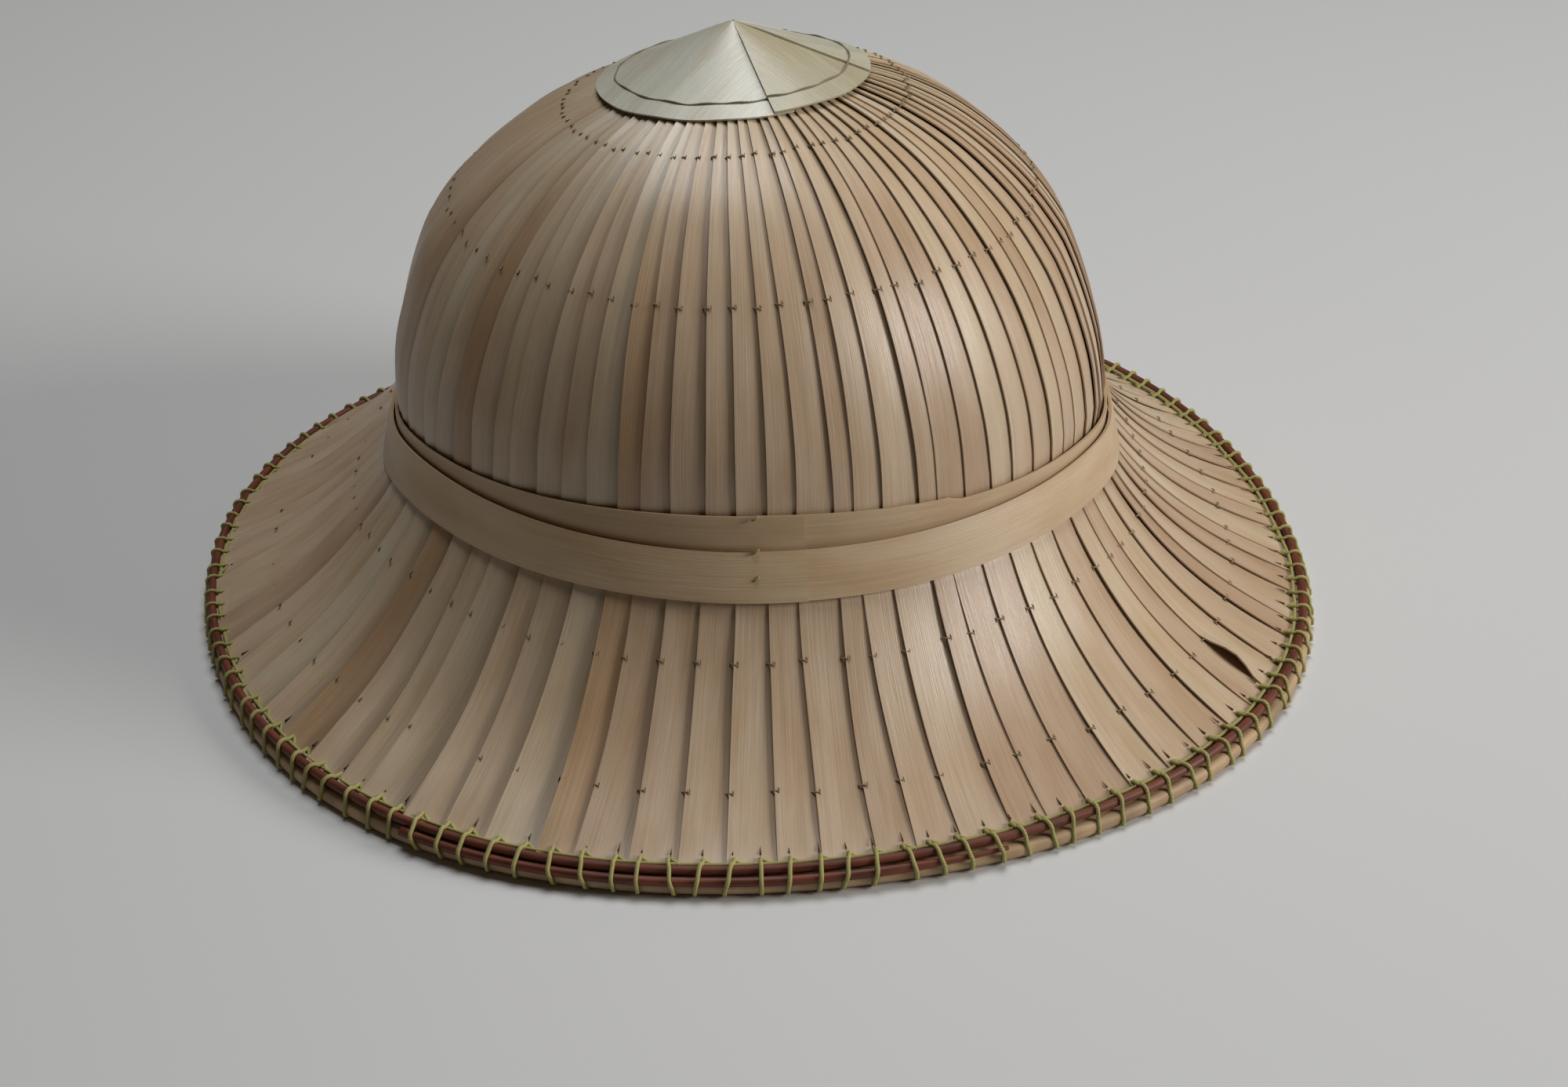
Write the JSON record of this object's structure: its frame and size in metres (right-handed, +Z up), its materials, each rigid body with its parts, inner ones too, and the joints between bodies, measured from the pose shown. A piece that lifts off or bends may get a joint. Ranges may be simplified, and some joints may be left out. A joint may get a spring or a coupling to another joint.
{
  "type": "pith helmet",
  "caption": "Round sun helmet of overlapping palm-leaf strips, with a domed crown, bell-shaped brim, leaf bands, small pointed top cap and cane-bound rim.",
  "frame": {"origin": "on the resting surface, under the middle of the helmet's outline", "axes": "+Z up through the crown, -Y towards the viewer of the picture, +X to the viewer's right"},
  "size_m": [0.324, 0.3256, 0.1691],
  "materials": {
    "leaf_strips": "satin dried palm leaf",
    "leaf_band": "satin dried palm leaf",
    "leaf_cap": "smooth pale palm leaf",
    "bamboo": "split bamboo",
    "cane": "dark red-brown cane"
  },
  "bodies": {
    "root": {"crown": "leaf_strips", "brim": "leaf_strips", "lower_band": "leaf_band", "upper_band": "leaf_band", "top_cap": "leaf_cap", "rim_splint": "bamboo", "rim_cane": "cane", "rim_cane_lap": "cane"}
  },
  "joints": []
}
